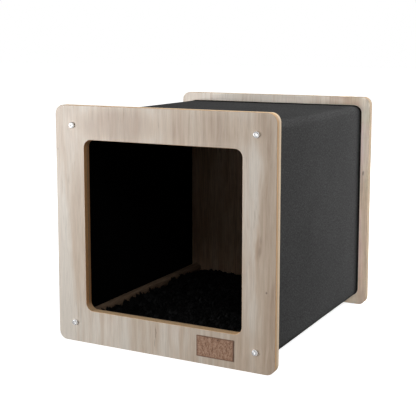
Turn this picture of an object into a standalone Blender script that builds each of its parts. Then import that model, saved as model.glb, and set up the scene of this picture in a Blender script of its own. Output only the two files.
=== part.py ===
# A free-standing pet house. Two boards, the front one with a doorway, are clamped over
# a felt sleeve by four dowels and their screws. A cushion lies loose on the floor board.
# Metres, +Z up, the front towards -Y and the house's left side towards -X.

import math

import bmesh
import bpy

# Boards
BOARD_WIDTH = 0.400
BOARD_HEIGHT = 0.400
BOARD_THICKNESS = 0.015
BOARD_CORNER_RADIUS = 0.015
BOARD_EDGE_CHAMFER = 0.0005
HOUSE_DEPTH = 0.450

# Doorway in the front board
DOOR_BORDER = 0.056
DOOR_CORNER_RADIUS = 0.0135

# Felt sleeve, set in from the boards' edges, with its ends in grooves
SLEEVE_INSET = 0.0165
SLEEVE_THICKNESS = 0.002
SLEEVE_CORNER_RADIUS = 0.014
SLEEVE_SEAM_GAP = 0.0004
GROOVE_DEPTH = 0.005

# Dowels between the boards
DOWEL_DIAMETER = 0.020
DOWEL_TO_SLEEVE = 0.0045
DOWEL_CHAMFER = 0.0008

# Threaded inserts in the dowels' ends
INSERT_DIAMETER = 0.010
INSERT_LENGTH = 0.013
INSERT_COLLAR = 0.0015
INSERT_RIB_HEIGHT = 0.0006
INSERT_RIB_HALF_WIDTH = 0.0010
INSERT_RIBS = 3

# Button head screws with a hex socket
SCREW_DIAMETER = 0.006
SCREW_GRIP = 0.010
SCREW_TIP_CHAMFER = 0.0006
HEAD_DIAMETER = 0.0105
HEAD_HEIGHT = 0.0033
HEAD_RIM_HEIGHT = 0.0007
HEAD_FLAT_DIAMETER = 0.0056
SOCKET_WIDTH = 0.004
SOCKET_DEPTH = 0.0021

# Floor board under the cushion
FLOOR_BOARD_THICKNESS = 0.003
FLOOR_BOARD_TO_DOWEL = 0.002

# Label patch on the front board, below the doorway's right end
LABEL_WIDTH = 0.065
LABEL_HEIGHT = 0.034
LABEL_THICKNESS = 0.001
LABEL_CORNER_RADIUS = 0.001
LABEL_BELOW_DOOR = 0.0098
LABEL_INSIDE_DOOR = 0.0132

# Loose cushion on the floor board
CUSHION_THICKNESS = 0.015
CUSHION_SEAM_HEIGHT = 0.005
CUSHION_TO_DOWEL = 0.002
CUSHION_TO_BOARD = 0.002
CUSHION_CORNER_RADIUS = 0.030
CUSHION_DRAW_IN = 0.003
CUSHION_BASE_SHARE = 0.93
CUSHION_CROWN_POWER = 4

# Gap between pieces that touch on the real house, and the radial play of holes
FIT_GAP = 0.0003

# Facets
SHARP_ANGLE = math.radians(30)
CORNER_STEPS = 8
LABEL_CORNER_STEPS = 3
ROUND_SIDES = 24
INSERT_SIDES = 16
DOWEL_SIDES = 32
DOME_STEPS = 5
CUSHION_SIDE_STEPS = 8
CUSHION_CORNER_STEPS = 4
CUSHION_LOWER_RINGS = 2
CUSHION_UPPER_RINGS = 8
CUSHION_RING_CROWDING = 2.2

# Places that follow from the sizes above
CENTRE_HEIGHT = BOARD_HEIGHT / 2
INNER_FACE = HOUSE_DEPTH / 2 - BOARD_THICKNESS
SLEEVE_FLOOR = SLEEVE_INSET + SLEEVE_THICKNESS
DOWEL_INSET = SLEEVE_FLOOR + DOWEL_TO_SLEEVE + DOWEL_DIAMETER / 2
DOWEL_ACROSS = BOARD_WIDTH / 2 - DOWEL_INSET
DOWEL_UP = BOARD_HEIGHT / 2 - DOWEL_INSET
CLEAR_HALF_WIDTH = DOWEL_ACROSS - DOWEL_DIAMETER / 2
FLOOR_BOARD_WIDTH = 2 * (CLEAR_HALF_WIDTH - FLOOR_BOARD_TO_DOWEL)
FLOOR_BOARD_TOP = SLEEVE_FLOOR + FIT_GAP + FLOOR_BOARD_THICKNESS


def clear_scene():
    for item in list(bpy.data.objects):
        bpy.data.objects.remove(item, do_unlink=True)


def make_material(name, colour, roughness, metallic=0.0):
    material = bpy.data.materials.new(name)
    material.use_nodes = True
    shader = material.node_tree.nodes["Principled BSDF"]
    shader.inputs["Base Color"].default_value = (*colour, 1.0)
    shader.inputs["Roughness"].default_value = roughness
    shader.inputs["Metallic"].default_value = metallic
    return material


# Mesh from a bmesh, with outward faces and smooth rounds
def finish_mesh(name, shape):
    bmesh.ops.recalc_face_normals(shape, faces=shape.faces)
    mesh = bpy.data.meshes.new(name)
    shape.to_mesh(mesh)
    shape.free()
    mesh.shade_smooth()
    mesh.set_sharp_from_angle(angle=SHARP_ANGLE)
    return mesh


# Corner points of a rounded rectangle about its centre, from the bottom's right end
# round to the bottom's left end
def rounded_outline(width, height, radius, steps=CORNER_STEPS):
    points = []
    for turn, (side_x, side_z) in enumerate(((1, -1), (1, 1), (-1, 1), (-1, -1))):
        centre_x = side_x * (width / 2 - radius)
        centre_z = side_z * (height / 2 - radius)
        for step in range(steps + 1):
            angle = math.radians(90 * (turn - 1) + 90 * step / steps)
            points.append((centre_x + radius * math.cos(angle), centre_z + radius * math.sin(angle)))
    return points


# Solid with one outline in XZ, centred on its own depth along Y
def prism_mesh(name, outline, depth):
    shape = bmesh.new()
    corners = [shape.verts.new((x, -depth / 2, z)) for x, z in outline]
    face = shape.faces.new(corners)
    extruded = bmesh.ops.extrude_face_region(shape, geom=[face])
    moved = [item for item in extruded["geom"] if isinstance(item, bmesh.types.BMVert)]
    bmesh.ops.translate(shape, verts=moved, vec=(0, depth, 0))
    return finish_mesh(name, shape)


# Wall between two outlines in XZ, closed into a tube or left open as a bent strip
def wall_mesh(name, outer, inner, depth, closed):
    shape = bmesh.new()
    rows = []
    for outline, y in ((outer, -depth / 2), (inner, -depth / 2), (inner, depth / 2), (outer, depth / 2)):
        rows.append([shape.verts.new((x, y, z)) for x, z in outline])
    count = len(outer)
    for index in range(count if closed else count - 1):
        after = (index + 1) % count
        for row, other in zip(rows, rows[1:] + rows[:1]):
            shape.faces.new((row[index], row[after], other[after], other[index]))
    if not closed:
        for index in (0, count - 1):
            shape.faces.new([row[index] for row in rows])
    return finish_mesh(name, shape)


# Piece turned about its own Z axis, from points of radius and height. A closed profile
# stands clear of the axis, an open one starts and ends on it.
def turned_mesh(name, profile, sides, closed=False):
    shape = bmesh.new()
    points = [shape.verts.new((radius, 0, height)) for radius, height in profile]
    pairs = list(zip(points, points[1:]))
    if closed:
        pairs.append((points[-1], points[0]))
    edges = [shape.edges.new(pair) for pair in pairs]
    bmesh.ops.spin(shape, geom=points + edges, cent=(0, 0, 0), axis=(0, 0, 1),
                   angle=math.tau, steps=sides, use_merge=True)
    bmesh.ops.remove_doubles(shape, verts=shape.verts, dist=1e-6)
    return finish_mesh(name, shape)


def box_mesh(name, low, high):
    shape = bmesh.new()
    bmesh.ops.create_cube(shape, size=1.0)
    for vertex in shape.verts:
        for axis in range(3):
            vertex.co[axis] = high[axis] if vertex.co[axis] > 0 else low[axis]
    return finish_mesh(name, shape)


def add_object(name, mesh, material=None, location=(0, 0, 0), turn=(0, 0, 0), parent=None):
    item = bpy.data.objects.new(name, mesh)
    bpy.context.scene.collection.objects.link(item)
    item.location = location
    item.rotation_euler = turn
    item.parent = parent
    if material is not None and not mesh.materials:
        mesh.materials.append(material)
    return item


def cut(body, cutter):
    cutter.hide_render = True
    cutter.display_type = "WIRE"
    cutter.parent = body.parent
    modifier = body.modifiers.new(cutter.name, "BOOLEAN")
    modifier.operation = "DIFFERENCE"
    modifier.solver = "EXACT"
    modifier.object = cutter


# The mesh of an object as its modifiers leave it. The object and its cutters are dropped.
def baked_mesh(item, cutters):
    bpy.context.view_layer.update()
    evaluated = item.evaluated_get(bpy.context.evaluated_depsgraph_get())
    mesh = bpy.data.meshes.new_from_object(evaluated)
    for leftover in [item, *cutters]:
        bpy.data.objects.remove(leftover, do_unlink=True)
    return mesh


# Sleeve outline, grown outwards by a margin
def sleeve_outline(margin):
    width = BOARD_WIDTH - 2 * SLEEVE_INSET + 2 * margin
    height = BOARD_HEIGHT - 2 * SLEEVE_INSET + 2 * margin
    return rounded_outline(width, height, SLEEVE_CORNER_RADIUS + margin)


def make_board(name, side, material, parent):
    depth_centre = side * (HOUSE_DEPTH - BOARD_THICKNESS) / 2
    outline = rounded_outline(BOARD_WIDTH, BOARD_HEIGHT, BOARD_CORNER_RADIUS)
    return add_object(name, prism_mesh(name, outline, BOARD_THICKNESS), material,
                      (0, depth_centre, CENTRE_HEIGHT), parent=parent)


def cut_doorway(board):
    outline = rounded_outline(BOARD_WIDTH - 2 * DOOR_BORDER, BOARD_HEIGHT - 2 * DOOR_BORDER,
                              DOOR_CORNER_RADIUS)
    cutter = add_object("doorway_cutter", prism_mesh("doorway_cutter", outline, 3 * BOARD_THICKNESS),
                        location=board.location)
    cut(board, cutter)


def chamfer_edges(board):
    modifier = board.modifiers.new("edge_chamfer", "BEVEL")
    modifier.width = BOARD_EDGE_CHAMFER
    modifier.segments = 1
    modifier.limit_method = "ANGLE"
    modifier.angle_limit = SHARP_ANGLE


# Groove for the sleeve's end, its lower run widened for the floor board's end
def cut_groove(board, side):
    outer = sleeve_outline(FIT_GAP)
    inner = sleeve_outline(-SLEEVE_THICKNESS - FIT_GAP)
    outer_floor = outer[0][1]
    inner_floor = inner[0][1]
    slot_top = FLOOR_BOARD_TOP + FIT_GAP - CENTRE_HEIGHT
    slot_end = FLOOR_BOARD_WIDTH / 2 + FIT_GAP
    for hand in (-1, 1):
        outside = (hand * (slot_end + FIT_GAP), outer_floor)
        within = (hand * (slot_end - FIT_GAP), outer_floor)
        step_foot = (hand * slot_end, inner_floor)
        step_head = (hand * slot_end, slot_top)
        outer += [outside, within][::-hand]
        inner += [step_foot, step_head][::-hand]
    depth = GROOVE_DEPTH + FIT_GAP
    mesh = wall_mesh("groove_cutter", outer, inner, 2 * depth, closed=True)
    cut(board, add_object(board.name + "_groove_cutter", mesh,
                          location=(0, side * INNER_FACE, CENTRE_HEIGHT)))


def corner_places():
    for level, up in (("lower", -1), ("upper", 1)):
        for hand, across in (("left", -1), ("right", 1)):
            yield level + "_" + hand, across * DOWEL_ACROSS, CENTRE_HEIGHT + up * DOWEL_UP


def cut_screw_holes(board):
    radius = SCREW_DIAMETER / 2 + FIT_GAP
    for corner, across, up in corner_places():
        reach = BOARD_THICKNESS
        profile = [(0, -reach), (radius, -reach), (radius, reach), (0, reach)]
        cutter = add_object(board.name + "_hole_" + corner,
                            turned_mesh("hole_cutter", profile, ROUND_SIDES),
                            location=(across, board.location.y, up), turn=(math.pi / 2, 0, 0))
        cut(board, cutter)


def make_sleeve(material, parent):
    length = 2 * (INNER_FACE + GROOVE_DEPTH)
    outer = sleeve_outline(0)
    inner = sleeve_outline(-SLEEVE_THICKNESS)
    half_gap = SLEEVE_SEAM_GAP / 2
    for outline in (outer, inner):
        floor = outline[0][1]
        outline.insert(0, (half_gap, floor))
        outline.append((-half_gap, floor))
    mesh = wall_mesh("felt_sleeve", outer, inner, length, closed=False)
    add_object("felt_sleeve", mesh, material, (0, 0, CENTRE_HEIGHT), parent=parent)


# How far a screw reaches past the dowel's end face
def screw_reach():
    return SCREW_GRIP - FIT_GAP


def dowel_mesh():
    half_length = INNER_FACE - FIT_GAP
    radius = DOWEL_DIAMETER / 2
    bore = INSERT_DIAMETER / 2 + FIT_GAP
    bore_end = half_length - max(INSERT_LENGTH, screw_reach()) - 2 * FIT_GAP
    upper_half = [(radius, half_length - DOWEL_CHAMFER), (radius - DOWEL_CHAMFER, half_length),
                  (bore, half_length), (bore, bore_end), (0, bore_end)]
    lower_half = [(distance, -height) for distance, height in reversed(upper_half)]
    return turned_mesh("dowel", lower_half + upper_half, DOWEL_SIDES)


# Insert with ribs round it, its mouth at height 0 and its body below
def insert_mesh():
    crest = INSERT_DIAMETER / 2
    root = crest - INSERT_RIB_HEIGHT
    bore = SCREW_DIAMETER / 2 + FIT_GAP
    pitch = (INSERT_LENGTH - INSERT_COLLAR) / (INSERT_RIBS + 1)
    profile = [(bore, 0), (crest, 0), (crest, -INSERT_COLLAR), (root, -INSERT_COLLAR)]
    for rib in range(1, INSERT_RIBS + 1):
        middle = -INSERT_COLLAR - pitch * rib
        profile += [(root, middle + INSERT_RIB_HALF_WIDTH), (crest, middle),
                    (root, middle - INSERT_RIB_HALF_WIDTH)]
    profile += [(root, -INSERT_LENGTH), (bore, -INSERT_LENGTH)]
    return turned_mesh("insert", profile, INSERT_SIDES, closed=True)


# Screw with the underside of its head at height 0 and its shank below
def screw_mesh():
    shank = SCREW_DIAMETER / 2
    length = BOARD_THICKNESS + FIT_GAP + SCREW_GRIP
    rim = HEAD_DIAMETER / 2
    flat = HEAD_FLAT_DIAMETER / 2
    profile = [(0, -length), (shank - SCREW_TIP_CHAMFER, -length), (shank, -length + SCREW_TIP_CHAMFER),
               (shank, 0), (rim, 0)]
    for step in range(DOME_STEPS + 1):
        angle = math.pi / 2 * step / DOME_STEPS
        profile.append((flat + (rim - flat) * math.cos(angle),
                        HEAD_RIM_HEIGHT + (HEAD_HEIGHT - HEAD_RIM_HEIGHT) * math.sin(angle)))
    profile.append((0, HEAD_HEIGHT))
    blank = add_object("screw_blank", turned_mesh("screw_blank", profile, ROUND_SIDES))
    corner = SOCKET_WIDTH / math.sqrt(3)
    socket_profile = [(0, -SOCKET_DEPTH), (corner, -SOCKET_DEPTH), (corner, SOCKET_DEPTH), (0, SOCKET_DEPTH)]
    socket = add_object("socket_cutter", turned_mesh("socket_cutter", socket_profile, 6),
                        location=(0, 0, HEAD_HEIGHT))
    cut(blank, socket)
    mesh = baked_mesh(blank, [socket])
    mesh.name = "screw"
    return mesh


def make_fasteners(dowel_material, insert_material, screw_material, parent):
    dowel = dowel_mesh()
    insert = insert_mesh()
    screw = screw_mesh()
    for corner, across, up in corner_places():
        add_object("dowel_" + corner, dowel, dowel_material, (across, 0, up),
                   (math.pi / 2, 0, 0), parent)
        for end, side in (("front", -1), ("back", 1)):
            turn = (-side * math.pi / 2, 0, 0)
            mouth = side * (INNER_FACE - 2 * FIT_GAP)
            add_object("insert_" + end + "_" + corner, insert, insert_material,
                       (across, mouth, up), turn, parent)
            seat = side * (HOUSE_DEPTH / 2 + FIT_GAP)
            add_object("screw_" + end + "_" + corner, screw, screw_material,
                       (across, seat, up), turn, parent)


def make_floor_board(material, parent):
    half_length = INNER_FACE + GROOVE_DEPTH
    half_width = FLOOR_BOARD_WIDTH / 2
    mesh = box_mesh("floor_board", (-half_width, -half_length, 0),
                    (half_width, half_length, FLOOR_BOARD_THICKNESS))
    add_object("floor_board", mesh, material, (0, 0, SLEEVE_FLOOR + FIT_GAP), parent=parent)


def make_label(material, parent):
    outline = rounded_outline(LABEL_WIDTH, LABEL_HEIGHT, LABEL_CORNER_RADIUS, LABEL_CORNER_STEPS)
    across = BOARD_WIDTH / 2 - DOOR_BORDER - LABEL_INSIDE_DOOR - LABEL_WIDTH / 2
    up = DOOR_BORDER - LABEL_BELOW_DOOR - LABEL_HEIGHT / 2
    front = -HOUSE_DEPTH / 2 - FIT_GAP - LABEL_THICKNESS / 2
    add_object("label_patch", prism_mesh("label_patch", outline, LABEL_THICKNESS), material,
               (across, front, up), parent=parent)


# Cushion outline in XY: a rounded rectangle with points along its sides, which draw in
def cushion_outline():
    width = 2 * (CLEAR_HALF_WIDTH - CUSHION_TO_DOWEL)
    length = 2 * (INNER_FACE - CUSHION_TO_BOARD)
    corners = rounded_outline(width, length, CUSHION_CORNER_RADIUS, CUSHION_CORNER_STEPS)
    points = []
    for index, (x, y) in enumerate(corners):
        points.append((x, y))
        next_x, next_y = corners[(index + 1) % len(corners)]
        if math.hypot(next_x - x, next_y - y) > CUSHION_CORNER_RADIUS:
            for step in range(1, CUSHION_SIDE_STEPS):
                part = step / CUSHION_SIDE_STEPS
                points.append((x + (next_x - x) * part, y + (next_y - y) * part))
    drawn = []
    for x, y in points:
        along_x = 2 * x / width
        along_y = 2 * y / length
        drawn.append((x - CUSHION_DRAW_IN * along_x * (1 - along_y ** 2),
                      y - CUSHION_DRAW_IN * along_y * (1 - along_x ** 2)))
    return drawn


# Rings of the cushion from its flat base round the seam and up to its crown, as each
# ring's share of the outline and its height
def cushion_rings():
    rings = []
    for ring in range(CUSHION_LOWER_RINGS + 1):
        angle = math.pi / 2 * ring / CUSHION_LOWER_RINGS
        share = CUSHION_BASE_SHARE + (1 - CUSHION_BASE_SHARE) * math.sin(angle)
        rings.append((share, CUSHION_SEAM_HEIGHT * (1 - math.cos(angle))))
    rise = CUSHION_THICKNESS - CUSHION_SEAM_HEIGHT
    for ring in range(1, CUSHION_UPPER_RINGS):
        share = 1 - (ring / CUSHION_UPPER_RINGS) ** CUSHION_RING_CROWDING
        rings.append((share, CUSHION_SEAM_HEIGHT + rise * math.sqrt(1 - share ** CUSHION_CROWN_POWER)))
    return rings


def make_cushion(material, parent):
    outline = cushion_outline()
    shape = bmesh.new()
    rows = []
    for share, height in cushion_rings():
        rows.append([shape.verts.new((x * share, y * share, height)) for x, y in outline])
    for row, other in zip(rows, rows[1:]):
        for index in range(len(outline)):
            after = (index + 1) % len(outline)
            shape.faces.new((row[index], row[after], other[after], other[index]))
    for row, height in ((rows[0], 0.0), (rows[-1], CUSHION_THICKNESS)):
        centre = shape.verts.new((0, 0, height))
        for index in range(len(outline)):
            shape.faces.new((row[index], row[(index + 1) % len(outline)], centre))
    add_object("cushion", finish_mesh("cushion", shape), material,
               (0, 0, FLOOR_BOARD_TOP + FIT_GAP), parent=parent)


def main():
    clear_scene()
    house = bpy.data.objects.new("pet_house", None)
    bpy.context.scene.collection.objects.link(house)

    board_material = make_material("washed_oak", (0.51, 0.43, 0.35), 0.6)
    sleeve_material = make_material("charcoal_felt", (0.052, 0.052, 0.053), 0.95)
    dowel_material = make_material("dowel_wood", (0.55, 0.42, 0.28), 0.55)
    insert_material = make_material("zinc_plated_insert", (0.50, 0.48, 0.42), 0.4, 1.0)
    screw_material = make_material("nickel_plated_screw", (0.60, 0.61, 0.62), 0.3, 1.0)
    floor_material = make_material("brown_hardboard", (0.13, 0.07, 0.04), 0.8)
    label_material = make_material("brown_label", (0.30, 0.17, 0.11), 0.7)
    cushion_material = make_material("black_plush", (0.004, 0.004, 0.004), 1.0)

    front = make_board("front_board", -1, board_material, house)
    back = make_board("back_board", 1, board_material, house)
    cut_doorway(front)
    for board, side in ((front, -1), (back, 1)):
        chamfer_edges(board)
        cut_groove(board, side)
        cut_screw_holes(board)

    make_sleeve(sleeve_material, house)
    make_fasteners(dowel_material, insert_material, screw_material, house)
    make_floor_board(floor_material, house)
    make_label(label_material, house)
    make_cushion(cushion_material, house)


main()
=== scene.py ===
import bpy
import math
import numpy as np
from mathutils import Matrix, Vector


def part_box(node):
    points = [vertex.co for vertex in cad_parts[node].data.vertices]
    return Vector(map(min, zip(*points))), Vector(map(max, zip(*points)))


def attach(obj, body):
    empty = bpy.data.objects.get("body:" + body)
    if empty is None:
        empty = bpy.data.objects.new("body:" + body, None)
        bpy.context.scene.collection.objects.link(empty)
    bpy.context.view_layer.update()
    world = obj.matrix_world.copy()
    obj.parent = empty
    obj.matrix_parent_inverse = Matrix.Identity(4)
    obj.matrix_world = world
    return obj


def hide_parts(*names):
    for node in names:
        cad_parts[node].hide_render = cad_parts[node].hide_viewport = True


# Pet house: two washed oak boards with a felt sleeve between them, dowels in its corners
# and a black plush cushion on the floor. Metres, front towards -Y, left towards -X.

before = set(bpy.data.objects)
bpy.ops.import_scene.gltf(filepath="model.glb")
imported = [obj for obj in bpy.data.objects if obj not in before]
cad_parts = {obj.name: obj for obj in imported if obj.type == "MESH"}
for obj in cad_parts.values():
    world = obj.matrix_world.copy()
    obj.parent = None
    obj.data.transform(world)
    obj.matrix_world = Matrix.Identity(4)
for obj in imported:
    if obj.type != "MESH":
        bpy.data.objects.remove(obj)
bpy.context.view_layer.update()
scene = bpy.context.scene
print("frame loaded with", len(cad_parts), "nodes")


# Handling pieces

quarterTurn = (math.pi / 2, 0, 0)  # turns what stands along Z to lie along Y


def selectOnly(piece):
    if bpy.context.mode != "OBJECT":
        bpy.ops.object.mode_set(mode="OBJECT")
    bpy.ops.object.select_all(action="DESELECT")
    piece.select_set(True)
    bpy.context.view_layer.objects.active = piece


def closeEdit():
    bpy.ops.object.mode_set(mode="OBJECT")


def settlePiece(name):  # names what was just added and puts its place into its mesh
    piece = bpy.context.object
    piece.name = name
    piece.data.name = name
    selectOnly(piece)
    bpy.ops.object.transform_apply(location=True, rotation=True, scale=True)
    return piece


def openEdit(piece, kind):
    selectOnly(piece)
    bpy.ops.object.mode_set(mode="EDIT")
    bpy.ops.mesh.select_mode(type=kind)
    bpy.ops.mesh.select_all(action="DESELECT")


def openAll(piece, kind):
    openEdit(piece, kind)
    bpy.ops.mesh.select_all(action="SELECT")


def pickFaces(piece, rule):  # rule is given a face's centre and normal
    openEdit(piece, "FACE")
    closeEdit()
    for face in piece.data.polygons:
        face.select = rule(face.center, face.normal)
    bpy.ops.object.mode_set(mode="EDIT")


def pickEdges(piece, rule):  # rule is given an edge's two ends
    openEdit(piece, "EDGE")
    closeEdit()
    points = piece.data.vertices
    for edge in piece.data.edges:
        first, second = edge.vertices
        edge.select = rule(points[first].co, points[second].co)
    bpy.ops.object.mode_set(mode="EDIT")


def applyModifier(piece, kind, **settings):
    selectOnly(piece)
    modifier = piece.modifiers.new(kind.lower(), kind)
    for name, value in settings.items():
        setattr(modifier, name, value)
    bpy.ops.object.modifier_apply(modifier=modifier.name)


def cutAway(piece, cutter):
    applyModifier(piece, "BOOLEAN", operation="DIFFERENCE", solver="EXACT", object=cutter)
    bpy.data.objects.remove(cutter)


def roundEdges(piece, width, steps, angle=30):
    applyModifier(piece, "BEVEL", width=width, segments=steps, limit_method="ANGLE",
                  angle_limit=math.radians(angle))


def smoothPiece(piece, angle=35, weighted=False):
    selectOnly(piece)
    bpy.ops.object.shade_smooth_by_angle(angle=math.radians(angle))
    if weighted:
        applyModifier(piece, "WEIGHTED_NORMAL", keep_sharp=True)


def copyPiece(piece, name, move):
    selectOnly(piece)
    bpy.ops.object.duplicate()
    bpy.ops.transform.translate(value=move)
    return settlePiece(name)


def addBlock(name, low, high):
    low, high = Vector(low), Vector(high)
    bpy.ops.mesh.primitive_cube_add(size=1, location=(high + low) / 2, scale=high - low)
    return settlePiece(name)


def addRod(name, sides, radius, length, place, turn=(0, 0, 0)):
    bpy.ops.mesh.primitive_cylinder_add(vertices=sides, radius=radius, depth=length,
                                        location=place, rotation=turn)
    return settlePiece(name)


def roundedBlock(name, low, high, radius, steps):  # its four edges along Y are rounded
    block = addBlock(name, low, high)
    pickEdges(block, lambda a, b: abs(a.y - b.y) > (high[1] - low[1]) / 2)
    bpy.ops.mesh.bevel(offset=radius, segments=steps, affect="EDGES")
    closeEdit()
    return block


def finishPiece(piece, body, slotName, *nodes):
    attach(piece, body)
    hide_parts(*nodes)


# Handling shader nodes

def feed(tree, target, value):  # value is a socket, or a plain number or colour
    if isinstance(value, bpy.types.NodeSocket):
        tree.links.new(value, target)
    else:
        target.default_value = value


def putNode(tree, kind, inputs, **settings):  # inputs are fed by their names or numbers
    node = tree.nodes.new("ShaderNode" + kind)
    for name, value in settings.items():
        setattr(node, name, value)
    for label, value in inputs.items():
        feed(tree, node.inputs[label], value)
    return node


def stretched(tree, vector, scale, turn=(0, 0, 0), place=(0, 0, 0)):
    inputs = {"Vector": vector, "Location": place, "Rotation": turn, "Scale": scale}
    return putNode(tree, "Mapping", inputs).outputs["Vector"]


def noise(tree, vector, scale, detail=3.0, rough=0.55, bend=0.0):
    inputs = {"Vector": stretched(tree, vector, scale), "Scale": 1.0, "Detail": detail,
              "Roughness": rough, "Distortion": bend}
    return putNode(tree, "TexNoise", inputs).outputs["Fac"]


def maths(tree, operation, *numbers):
    return putNode(tree, "Math", dict(enumerate(numbers)), operation=operation).outputs[0]


def blended(tree, first, share, second, otherShare):  # a sum of two values in fixed shares
    return maths(tree, "MULTIPLY_ADD", first, share, maths(tree, "MULTIPLY", second, otherShare))


def around(tree, value, amount, start=0.0):  # start, moved by up to half the amount either way
    return maths(tree, "MULTIPLY_ADD", maths(tree, "SUBTRACT", value, 0.5), amount, start)


def spread(tree, value, low, high, outLow=0.0, outHigh=1.0):  # smooth step between two levels
    inputs = {"Value": value, "From Min": low, "From Max": high, "To Min": outLow, "To Max": outHigh}
    return putNode(tree, "MapRange", inputs, interpolation_type="SMOOTHSTEP").outputs["Result"]


def mixed(tree, factor, first, second, blend="MIX"):
    first, second = ((*colour, 1) if isinstance(colour, tuple) else colour for colour in (first, second))
    inputs = {0: factor, 6: first, 7: second}
    return putNode(tree, "Mix", inputs, data_type="RGBA", blend_type=blend).outputs[2]


def tinted(tree, colour, tint):  # tint is a socket or a colour
    return mixed(tree, 1.0, colour, tint, "MULTIPLY")


def ramp(tree, factor, stops):  # stops are pairs of place and colour
    node = putNode(tree, "ValToRGB", {"Fac": factor})
    elements = node.color_ramp.elements
    while len(elements) < len(stops):
        elements.new(0.5)
    for element, (place, colour) in zip(elements, stops):
        element.position = place
        element.color = (*colour, 1)
    return node.outputs["Color"]


def axes(tree, vector):
    return putNode(tree, "SeparateXYZ", {0: vector}).outputs


def bump(tree, height, distance, strength):
    inputs = {"Height": height, "Distance": distance, "Strength": strength}
    return putNode(tree, "Bump", inputs).outputs["Normal"]


def joinShader(tree, shader, colour, rough, height, distance, strength):
    feed(tree, shader["Base Color"], colour)
    feed(tree, shader["Roughness"], rough)
    feed(tree, shader["Normal"], bump(tree, height, distance, strength))


def inSpot(tree, across, up, spot, half, strength):  # full in the middle of an oval spot, 0 outside it
    partX = maths(tree, "DIVIDE", maths(tree, "SUBTRACT", across, spot[0]), half[0])
    partZ = maths(tree, "DIVIDE", maths(tree, "SUBTRACT", up, spot[1]), half[1])
    far = maths(tree, "MULTIPLY_ADD", partX, partX, maths(tree, "MULTIPLY", partZ, partZ))
    return spread(tree, far, 1.0, 0.0, 0.0, strength)


def seenRays(tree):  # 1 for what the camera sees straight, in a gloss or through glass, else 0
    path = putNode(tree, "LightPath", {}).outputs
    seen = maths(tree, "MAXIMUM", path["Is Camera Ray"], path["Is Glossy Ray"])
    return maths(tree, "MAXIMUM", seen, path["Is Transmission Ray"])


def newGroup(name, inputs, outputs):  # inputs have a name and a kind, outputs are numbers
    group = bpy.data.node_groups.new(name, "ShaderNodeTree")
    for label, kind in inputs.items():
        group.interface.new_socket(label, in_out="INPUT", socket_type="NodeSocket" + kind)
    for label in outputs:
        group.interface.new_socket(label, in_out="OUTPUT", socket_type="NodeSocketFloat")
    source = group.nodes.new("NodeGroupInput")
    sink = group.nodes.new("NodeGroupOutput")
    return group, source.outputs, sink.inputs


def useGroup(tree, group, **values):
    node = tree.nodes.new("ShaderNodeGroup")
    node.node_tree = group
    for name, value in values.items():
        feed(tree, node.inputs[name], value)
    return node.outputs


def newMaterial(name, **plain):  # plain are numbers and colours for the shader's own sockets
    material = bpy.data.materials.new(name)
    material.use_nodes = True
    tree = material.node_tree
    shader = tree.nodes["Principled BSDF"]
    for label, value in plain.items():
        shader.inputs[label.replace("_", " ")].default_value = value
    place = putNode(tree, "TexCoord", {}).outputs["Object"]
    return material, tree, shader.inputs, place


# Camera and light

cameraValues = {
    "place": (0.7350, -1.4676, 0.5044),
    "pitch": -7.476,
    "yaw": 27.862,
    "lens": 80.18,
    "sensor": 36.0,
    "shiftX": 0.0106,
    "shiftY": -0.1092,
}

lightValues = {  # place, what it points at, width and height, brightness, and spread in degrees
    "keyPanel": ((-1.50, -1.75, 0.27), (0.0, -0.20, 0.17), (0.9, 0.9), 14.3, 180),
    "topPanel": ((-0.30, 0.30, 1.65), (0.0, 0.0, 0.3), (1.4, 0.9), 1.0, 180),
    "sidePanel": ((1.40, 0.50, 1.20), (0.15, 0.0, 0.2), (1.4, 1.4), 4.3, 180),
    "fillPanel": ((0.80, -1.65, 1.60), (0.0, -0.2, 0.15), (0.9, 0.7), 3.6, 180),
    "edgePanel": ((1.25, -1.45, 0.26), (0.34, 0.20, 0.16), (0.05, 0.55), 6.0, 20),
    "backPanel": ((-0.60, 2.20, 0.90), (0.0, 0.2, 0.2), (1.6, 1.2), 1.6, 180),
}

stageValues = {
    "ambient": 0.17,
    "floorSize": 30.0,
    "floorColour": 0.80,
    "floorBounce": 0.10,  # how pale the floor is for light that bounces off it
    "nearGlow": 0.80,
    "farGlow": 1.0,
    "glowFrom": 0.35,
    "glowTo": 1.10,
}


def makeCamera(values):
    bpy.ops.object.camera_add(location=values["place"],
                              rotation=(math.radians(90 + values["pitch"]), 0, math.radians(values["yaw"])))
    camera = bpy.context.object
    camera.name = "viewCamera"
    camera.data.sensor_width = values["sensor"]
    camera.data.lens = values["lens"]
    camera.data.shift_x = values["shiftX"]
    camera.data.shift_y = values["shiftY"]
    camera.data.clip_start = 0.05
    camera.data.clip_end = 60.0
    scene.camera = camera


def makePanel(name, place, target, size, brightness, spreadAngle):
    aim = Vector(target) - Vector(place)
    bpy.ops.object.light_add(type="AREA", location=place,
                             rotation=aim.to_track_quat("-Z", "Y").to_euler())
    panel = bpy.context.object
    panel.name = name
    panel.visible_camera = False
    panel.data.shape = "RECTANGLE"
    panel.data.size, panel.data.size_y = size
    panel.data.energy = brightness * math.pi * size[0] * size[1]
    panel.data.spread = math.radians(spreadAngle)


def makeWorld(values):
    world = bpy.data.worlds.new("studioWorld")
    scene.world = world
    world.use_nodes = True
    tree = world.node_tree
    background = tree.nodes["Background"]
    level = maths(tree, "MULTIPLY_ADD", seenRays(tree), 1.0 - values["ambient"], values["ambient"])
    feed(tree, background.inputs["Color"], (1, 1, 1, 1))
    feed(tree, background.inputs["Strength"], level)


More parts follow.
